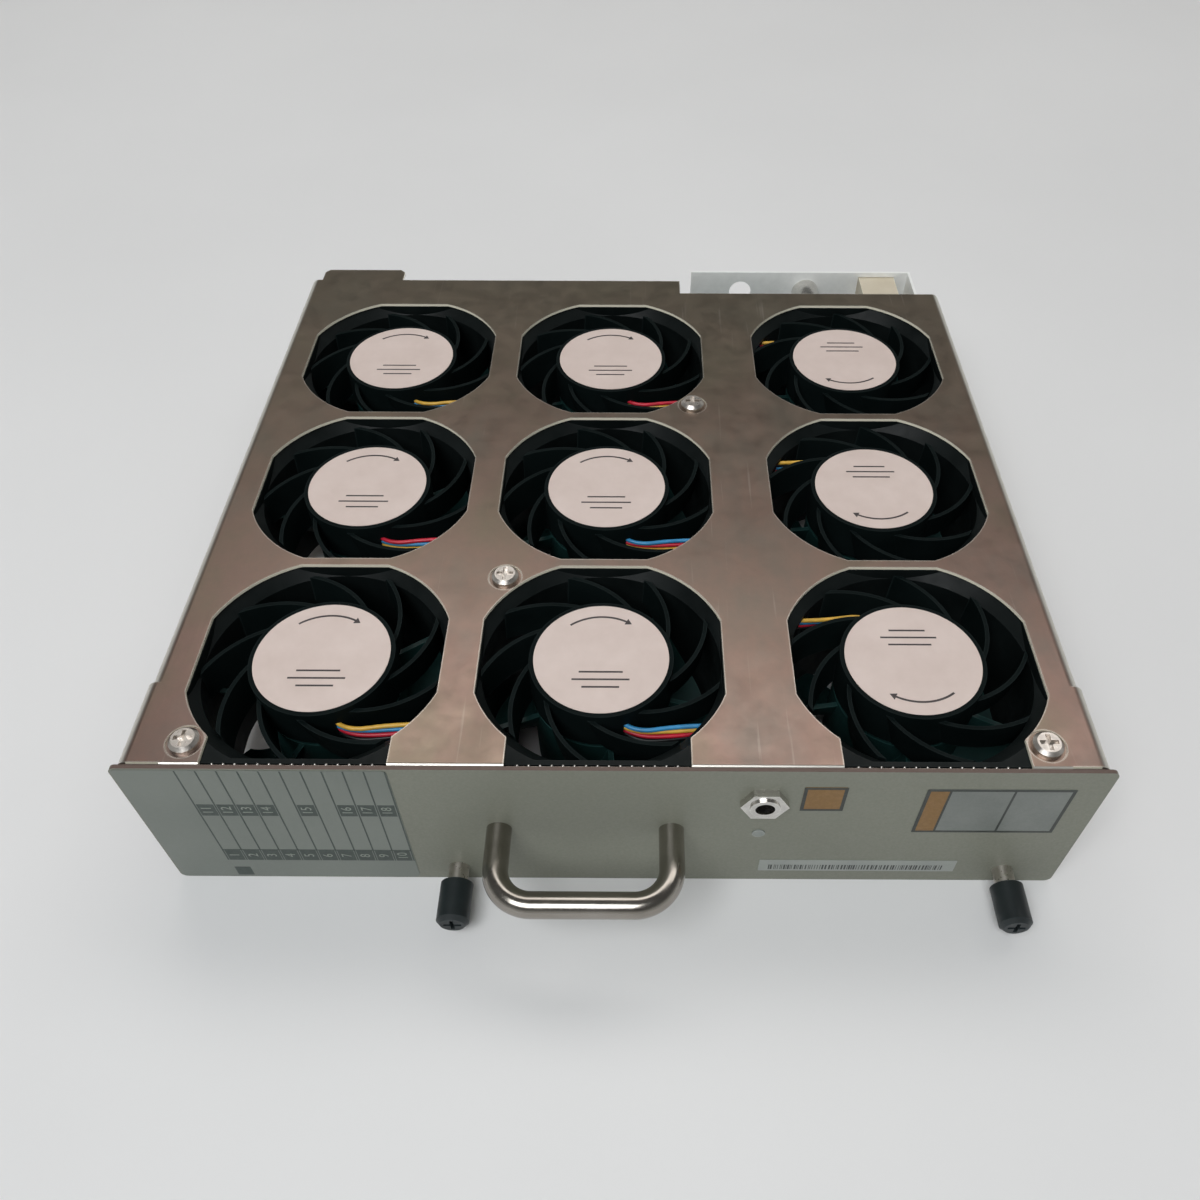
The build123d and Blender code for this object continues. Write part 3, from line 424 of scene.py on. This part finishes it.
def rounded(x0, x1, y0, y1, radius, steps=6):
    """Corners of a rounded rectangle, counter-clockwise."""
    points = []
    for cx, cy, start in ((x1 - radius, y1 - radius, 0), (x0 + radius, y1 - radius, 90),
                          (x0 + radius, y0 + radius, 180), (x1 - radius, y0 + radius, 270)):
        for step in range(steps + 1):
            angle = math.radians(start + 90 * step / steps)
            points.append((cx + radius * math.cos(angle), cy + radius * math.sin(angle)))
    return points


def circle(radius, steps=96):
    """Corners of a circle, counter-clockwise."""
    return [(radius * math.cos(2 * math.pi * i / steps), radius * math.sin(2 * math.pi * i / steps))
            for i in range(steps)]


def rectangle(x0, x1, y0, y1):
    """Corners of a rectangle, counter-clockwise."""
    return [(x0, y0), (x1, y0), (x1, y1), (x0, y1)]


# Graphics on the panel: X and Z in millimetres of the frame, thickness out of the panel's face. A band is (low, high)
# and a place is (left, right, low, high).
FILM_THICK = 0.12
INK_THICK = 0.02
film_side_gap = 0.35
film_left = panel_low[0] / MM + film_side_gap
film_right = -49.4
film_bottom = 0.5
film_top = 50.3
film_corner = 1.4
print_margin = 0.3
grid_left = -95.6
grid_right = film_right - print_margin
columns = 10
column_pitch = (grid_right - grid_left) / columns
line_width = 0.36
upper_band = (30.8, 35.8)
lower_band = (9.1, 14.2)
foot_band = (1.2, 5.4)
upper_dark_columns = (0, 1, 2, 3, 5, 7, 8, 9)
number_size = 3.4
amber_place = (42.4, 52.2, 34.4, 44.4)
amber_corner = 0.5
wide_place = (69.8, 102.9, 24.8, 43.9)
wide_corner = 0.8
border = 0.8
divider = border / 1.5
wide_strip = 5.0
wide_divider = 19.4
bar_place = (35.6, 84.3, 4.9, 10.4)
bar_corner = 0.3
bar_insets = (2.4, -3.0, 0.8, -2.4)
bar_widths = (0.16, 0.16, 0.3, 0.42)
bar_gaps = (0.2, 0.34, 0.5)


def panel_transform(lift):
    """Maps a drawing in X and Z onto the panel's face, lift millimetres in front of it."""
    return Matrix(((MM, 0, 0, 0), (0, 0, -MM, panel_front - lift * MM), (0, MM, 0, 0), (0, 0, 0, 1)))


def panel_plates(name, outlines, lift, thickness, material):
    """One piece of thin plates on the panel's face, lift millimetres in front of it."""
    bm = bmesh.new()
    for outline in outlines:
        prism(bm, outline, thickness, panel_transform(lift))
    mesh_piece(name, bm, material)


def frame_outline(x0, x1, z0, z1, width):
    """Four strips that make a border."""
    return [rectangle(x0, x1, z0, z0 + width), rectangle(x0, x1, z1 - width, z1),
            rectangle(x0, x0 + width, z0 + width, z1 - width), rectangle(x1 - width, x1, z0 + width, z1 - width)]


def draw_slot_map():
    """The film with its columns, a band of dark cells at the foot and a partly filled band above it."""
    panel_plates("panel_film", [rounded(film_left, film_right, film_bottom, film_top, film_corner)], 0, FILM_THICK,
                 film())
    dark = ink("ink_dark", (0.030, 0.045, 0.038))
    strips = []
    for index in range(columns + 1):
        x = grid_left + index * column_pitch
        strips.append(rectangle(x - line_width / 2, x + line_width / 2, lower_band[0], film_top - print_margin))
    strips.append(rectangle(grid_left, grid_right, lower_band[1], lower_band[1] + line_width))
    cells = []
    for index in range(columns):
        x = grid_left + index * column_pitch
        cells.append(rectangle(x + line_width, x + column_pitch - line_width, *lower_band))
        if index in upper_dark_columns:
            cells.append(rectangle(x + line_width, x + column_pitch - line_width, *upper_band))
    cells.append(rectangle(grid_left + print_margin, grid_left + column_pitch - print_margin, *foot_band))
    panel_plates("slot_map_lines", strips, FILM_THICK, INK_THICK, dark)
    panel_plates("slot_map_cells", cells, FILM_THICK, INK_THICK, dark)


def draw_slot_numbers():
    """Plain numbers in the dark cells, reading upwards as the map does."""
    pale = ink("ink_pale", (0.21, 0.235, 0.20))
    bands = [(lower_band, 1, range(columns)), (upper_band, columns + 1, upper_dark_columns)]
    for (low, high), first, used in bands:
        for order, index in enumerate(used):
            curve = bpy.data.curves.new(f"slot_number_{first + order}", "FONT")
            curve.body = str(first + order)
            curve.size = number_size
            curve.align_x = "CENTER"
            curve.align_y = "CENTER"
            curve.extrude = INK_THICK / 2
            curve.materials.append(pale)
            centre = (grid_left + (index + 0.5) * column_pitch, (low + high) / 2, 0)
            turn = Matrix.Translation(centre) @ Matrix.Rotation(math.radians(90), 4, "Z")
            tray_piece(curve.name, curve, panel_transform(FILM_THICK + INK_THICK * 1.5) @ turn)


def draw_panel_labels():
    """A square plate and a wide label, bare but for their borders and dividers."""
    amber = ink("ink_amber", (0.205, 0.105, 0.022))
    dark = ink("label_line", (0.022, 0.028, 0.024))
    stock = paper("label_stock", (0.150, 0.165, 0.152), (0.185, 0.200, 0.185))
    panel_plates("amber_plate", [rounded(*amber_place, amber_corner)], 0, FILM_THICK, amber)
    panel_plates("wide_label", [rounded(*wide_place, wide_corner)], 0, FILM_THICK, stock)
    left, low, high = wide_place[0], wide_place[2] + border, wide_place[3] - border
    panel_plates("wide_label_strip", [rectangle(left + border, left + wide_strip, low, high)],
                 FILM_THICK, INK_THICK, amber)
    dividers = [rectangle(x, x + divider, low, high) for x in (left + wide_strip, left + wide_divider)]
    borders = frame_outline(*amber_place, border) + frame_outline(*wide_place, border)
    panel_plates("label_borders", borders + dividers, FILM_THICK, INK_THICK, dark)


def draw_bar_strip():
    """Pale strip with an even run of thin bars that encode nothing."""
    stock = paper("strip_stock", (0.27, 0.29, 0.27), (0.31, 0.33, 0.305))
    panel_plates("bar_strip", [rounded(*bar_place, bar_corner)], 0, FILM_THICK, stock)
    left, right, low, high = (edge + inset for edge, inset in zip(bar_place, bar_insets))
    bars = []
    while left < right:
        width = random.choice(bar_widths)
        bars.append(rectangle(left, left + width, low, high))
        left += width + random.choice(bar_gaps)
    panel_plates("bar_strip_bars", bars, FILM_THICK, INK_THICK, ink("bar_ink", (0.020, 0.024, 0.022)))


draw_slot_map()
draw_slot_numbers()
draw_panel_labels()
draw_bar_strip()

# Fan labels: a plain disc on each motor base with a generic arrow for the direction of rotation. Heights are over the
# fan's floor, and all sizes are in millimetres.
motor_base_height = 37.75
label_radius = 16.2
label_thick = 0.12
arrow_radius = 12.6
arrow_width = 0.55
arrow_head = 1.0
arrow_start, arrow_end = 128, 62
rule_halves = (5.2, 6.8, 4.4)
rule_top = -4.6
rule_pitch = 2.2
rule_width = 0.5


def arrow_outline(radius, width, start, end, head, steps=20):
    """Arc from start to end degrees with an arrowhead at its end."""
    angles = [math.radians(start + (end - start) * i / steps) for i in range(steps + 1)]
    outer = [((radius + width / 2) * math.cos(a), (radius + width / 2) * math.sin(a)) for a in angles]
    inner = [((radius - width / 2) * math.cos(a), (radius - width / 2) * math.sin(a)) for a in reversed(angles)]
    last = angles[-1]
    direction = math.copysign(1, end - start)
    tip_angle = last + direction * 1.6 * head / radius
    tip = (radius * math.cos(tip_angle), radius * math.sin(tip_angle))
    barbs = [((radius + s * head) * math.cos(last), (radius + s * head) * math.sin(last)) for s in (1, -1)]
    return outer + [barbs[0], tip, barbs[1]] + inner


def draw_fan_labels():
    """A disc on each motor base with its arrow and three rules, turned with its fan."""
    stock = paper("fan_label_stock", (0.67, 0.55, 0.50), (0.73, 0.61, 0.56))
    dark = ink("fan_label_ink", (0.045, 0.035, 0.035))
    for number, axis in enumerate(fan_axes, start=1):
        centre = (axis.x, axis.y, fan_floor + motor_base_height * MM)
        turn = Matrix.Rotation(math.pi if turned_round(axis) else 0.0, 4, "Z")
        place = Matrix.Translation(centre) @ turn @ Matrix.Scale(MM, 4)
        bm = bmesh.new()
        prism(bm, circle(label_radius), label_thick, place)
        mesh_piece(f"fan_label_{number}", bm, stock)
        bm = bmesh.new()
        lifted = place @ Matrix.Translation((0, 0, label_thick))
        prism(bm, arrow_outline(arrow_radius, arrow_width, arrow_start, arrow_end, arrow_head), INK_THICK, lifted)
        for line, half in enumerate(rule_halves):
            y = rule_top - rule_pitch * line
            prism(bm, rectangle(-half, half, y, y + rule_width), INK_THICK, lifted)
        mesh_piece(f"fan_label_marks_{number}", bm, dark)


draw_fan_labels()

# Leads: each flat strip of the frame is four round wires on the same route, whose own part is given from its fan's axis
wire_diameter = 1.1
lead_height = 31.15
fan_half = 30.0
left_lane_gap = 3.3
right_lane_gap = 7.15
lane_pitch = 2.0
header_overlap = 1.0
own_route = [(5.7, -15.7), (8.6, -17.9), (17.5, -17.2), (26.0, -16.0)]
wire_colours = {"black": (0.012, 0.012, 0.013), "red": (0.70, 0.020, 0.050), "yellow": (0.85, 0.50, 0.07),
                "blue": (0.04, 0.30, 0.60)}
# Each level's sideways place in the bundle at the points of its own route, in wire diameters
bundle = [(0.0, -0.9, -0.8, 0.0), (0.1, 0.4, -0.5, 0.1), (-0.1, 1.2, 0.7, -0.1), (0.0, 0.0, 1.6, 0.1)]
# The wires of each fan from the lowest level to the highest
stacks = ["black red blue yellow", "black red yellow blue", "black red blue yellow",
          "black yellow blue red", "black yellow red blue", "red blue black yellow",
          "black red blue yellow", "black blue yellow red", "black blue red yellow"]


def lane_of(number):
    """X of the aisle lane that the lead of a fan takes, in millimetres; fans count from 0."""
    row, column = divmod(number, len(columns_x))
    if column == 0:
        return columns_x[0] + fan_half + left_lane_gap + (1 - row) * lane_pitch
    side = -1 if column == 1 else 1
    return columns_x[1] + fan_half + right_lane_gap + side * (row + 0.5) * lane_pitch


def draw_wires():
    """Four wires from each motor base, out by the housing's port and along an aisle to the headers."""
    materials = {name: lead_plastic("wire_" + name, colour) for name, colour in wire_colours.items()}
    header_y = headers_low[1] / MM + header_overlap
    for number, axis in enumerate(fan_axes):
        flip = -1 if turned_round(axis) else 1
        lane = lane_of(number)
        for index, colour_name in enumerate(stacks[number].split()):
            height = fan_floor + (lead_height + (index - 1.5) * wire_diameter) * MM
            points = []
            for (x, y), side in zip(own_route, bundle[index]):
                points.append((axis.x / MM + flip * x, axis.y / MM + flip * (y + side * wire_diameter / 2)))
            points += [(lane, points[-1][1]), (lane, header_y)]
            curve = bpy.data.curves.new(f"lead_{number + 1}_{colour_name}", "CURVE")
            curve.dimensions = "3D"
            curve.bevel_depth = wire_diameter * MM / 2
            curve.bevel_resolution = 3
            spline = curve.splines.new("NURBS")
            spline.points.add(len(points) - 1)
            for point, (x, y) in zip(spline.points, points):
                point.co = (x * MM, y * MM, height, 1)
            spline.order_u = 3
            spline.use_endpoint_u = True
            spline.resolution_u = 8
            curve.materials.append(materials[colour_name])
            tray_piece(curve.name, curve)
    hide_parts("fan_leads")


draw_wires()

# Contact beads: the crest of each spring finger behind the panel's top edge
finger_pitch = 2.5
bead_radius = 0.32


def draw_contact_beads():
    """A row of small domes per strip, on the crests of the frame's fingers."""
    strip_low, strip_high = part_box("contact_strips")
    count = int(2 * (strip_high[0] - right_column_x) / MM / finger_pitch)
    y, z = strip_low[1] + bead_radius * MM, strip_high[2]
    bm = bmesh.new()
    for middle in columns_x:
        for index in range(count):
            x = (middle + (index - (count - 1) / 2) * finger_pitch) * MM
            bmesh.ops.create_icosphere(bm, subdivisions=2, radius=bead_radius * MM,
                                       matrix=Matrix.Translation((x, y, z)))
    mesh_piece("contact_beads", bm, nickel, smooth=True)


draw_contact_beads()

# Springs: a coil in place of each plain sleeve of the frame. The wire fills coil_fill of the length when pressed.
coil_wire = 0.3
coil_steps = 20
coil_sides = 6
coil_fill = 0.75


def coil_rings(low, high, turns):
    """Rings of points round a wire that winds about Y inside the box from low to high, in millimetres."""
    middle = (low + high) / 2
    radius = (high.x - low.x - coil_wire) / 2
    start = low.y + coil_wire / 2
    rise = (high.y - low.y - coil_wire) / (2 * math.pi * turns)
    rings = []
    count = coil_steps * turns
    for index in range(count + 1):
        angle = 2 * math.pi * turns * index / count
        outward = Vector((math.cos(angle), 0, math.sin(angle)))
        along = Vector((-radius * math.sin(angle), rise, radius * math.cos(angle))).normalized()
        across = along.cross(outward)
        core = Vector((middle.x, start + rise * angle, middle.z)) + radius * outward
        turns_round = (2 * math.pi * side / coil_sides for side in range(coil_sides))
        rings.append([core + (math.cos(a) * outward + math.sin(a) * across) * coil_wire / 2 for a in turns_round])
    return rings


def draw_springs():
    """Each coil rides on the tray and has as many turns as fit when it is pressed towards the ferrule's floor by its
    knob.
    """
    for side in ("left", "right"):
        node = "thumb_spring_" + side
        push = next(joint for joint in frame["joints"] if joint["name"] == "thumb_push_" + side)
        low, high = (corner / MM for corner in map(Vector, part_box(node)))
        pressed = high.y - low.y - max(push["range_m"]) / MM
        bm = bmesh.new()
        rings = [[bm.verts.new(point * MM) for point in ring]
                 for ring in coil_rings(low, high, int(coil_fill * pressed / coil_wire))]
        for first, second in zip(rings, rings[1:]):
            for i in range(coil_sides):
                j = (i + 1) % coil_sides
                bm.faces.new((first[i], first[j], second[j], second[i]))
        bm.faces.new(rings[0])
        bm.faces.new(reversed(rings[-1]))
        coil = mesh_piece("thumb_coil_" + side, bm, spring_wire, smooth=True)
        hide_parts(node)
        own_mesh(coil)


draw_springs()


# Stage, lights and camera
def build_stage():
    """A pale floor that the panel's lower edge and the tray's rear edge rest on. It fades into the world far away."""
    slope = math.atan2(tray_low[2] - panel_low[2], tray_high[1] - panel_low[1])
    bpy.ops.mesh.primitive_plane_add(size=8.0, location=(0, panel_low[1], panel_low[2] - 0.0001))
    floor = bpy.context.object
    floor.name = "floor"
    floor.rotation_euler = (slope, 0, 0)
    m = Shader("floor_paint").set(Metallic=0.0, Roughness=0.75, Emission_Strength=1.0)
    base = m.ramp(m.noise(0.2, 3, 0.5), [(0.3, (0.80, 0.80, 0.80)), (0.7, (0.84, 0.84, 0.84))])
    distance = m.add("ShaderNodeVectorMath", operation="LENGTH")
    m.link(m.place, distance.inputs[0])
    far = m.grey(distance.outputs["Value"], 0.0, 1.0, 0.6, 2.4)
    m.colour(m.mix(far, base, (0.0, 0.0, 0.0)))
    m.link(m.mix(far, (0.0, 0.0, 0.0), (0.60, 0.61, 0.60)), m.surface.inputs["Emission Color"])
    floor.data.materials.append(m.material)


def soft_light(name, place, target, size, power, colour):
    """A rectangular lamp at place that faces target; metres and watts."""
    data = bpy.data.lights.new(name, "AREA")
    data.shape = "RECTANGLE"
    data.size, data.size_y = size
    data.energy = power
    data.color = colour
    lamp = bpy.data.objects.new(name, data)
    bpy.context.collection.objects.link(lamp)
    lamp.location = place
    lamp.rotation_euler = (Vector(target) - Vector(place)).to_track_quat("-Z", "Y").to_euler()


def build_lights():
    """A soft key above and behind, a soft fill in front, and a world that is pale low down and dim overhead."""
    world = bpy.data.worlds.new("studio")
    bpy.context.scene.world = world
    world.use_nodes = True
    tree = world.node_tree
    place = tree.nodes.new("ShaderNodeTexCoord")
    split = tree.nodes.new("ShaderNodeSeparateXYZ")
    ramp = tree.nodes.new("ShaderNodeValToRGB")
    greys = [(0.0, 0.62), (0.12, 0.52), (0.38, 0.16), (0.6, 0.12)]
    set_stops(ramp.color_ramp, [(height, (grey * 0.98, grey, grey * 0.98)) for height, grey in greys])
    tree.links.new(place.outputs["Generated"], split.inputs[0])
    tree.links.new(split.outputs["Z"], ramp.inputs["Fac"])
    tree.links.new(ramp.outputs["Color"], tree.nodes["Background"].inputs["Color"])
    soft_light("key", place=(0.14, 0.60, 1.25), target=(0, 0, 0.04), size=(1.7, 0.5), power=6.0,
               colour=(1.0, 0.97, 0.94))
    soft_light("fill", place=(-0.35, -0.85, 1.35), target=(0, 0, 0.03), size=(1.0, 0.8), power=16.0,
               colour=(0.96, 0.98, 1.0))


def build_camera():
    """Camera solved from the photograph: it looks down over the panel at about 48 degrees."""
    data = bpy.data.cameras.new("camera")
    data.sensor_fit = "HORIZONTAL"
    data.sensor_width = 36.0
    image = 1200
    focal_pixels = 1010.47
    principal = (631.78, 591.64)
    place = Vector((4.4, -208.15, 239.6)) * MM
    data.lens = focal_pixels / image * data.sensor_width
    data.shift_x = (image / 2 - principal[0]) / image
    data.shift_y = (principal[1] - image / 2) / image
    data.clip_start = 0.01
    camera = bpy.data.objects.new("camera", data)
    bpy.context.collection.objects.link(camera)
    right = Vector((1.0, 0.0051, 0.0014)).normalized()
    forward = Vector((-0.0024, 0.6680, -0.7441)).normalized()
    up = right.cross(forward).normalized()
    right = forward.cross(up).normalized()
    turn = Matrix((right, up, -forward)).transposed().to_4x4()
    camera.matrix_world = Matrix.Translation(place) @ turn
    bpy.context.scene.camera = camera


build_stage()
build_lights()
build_camera()
bpy.context.scene.view_settings.view_transform = "Standard"
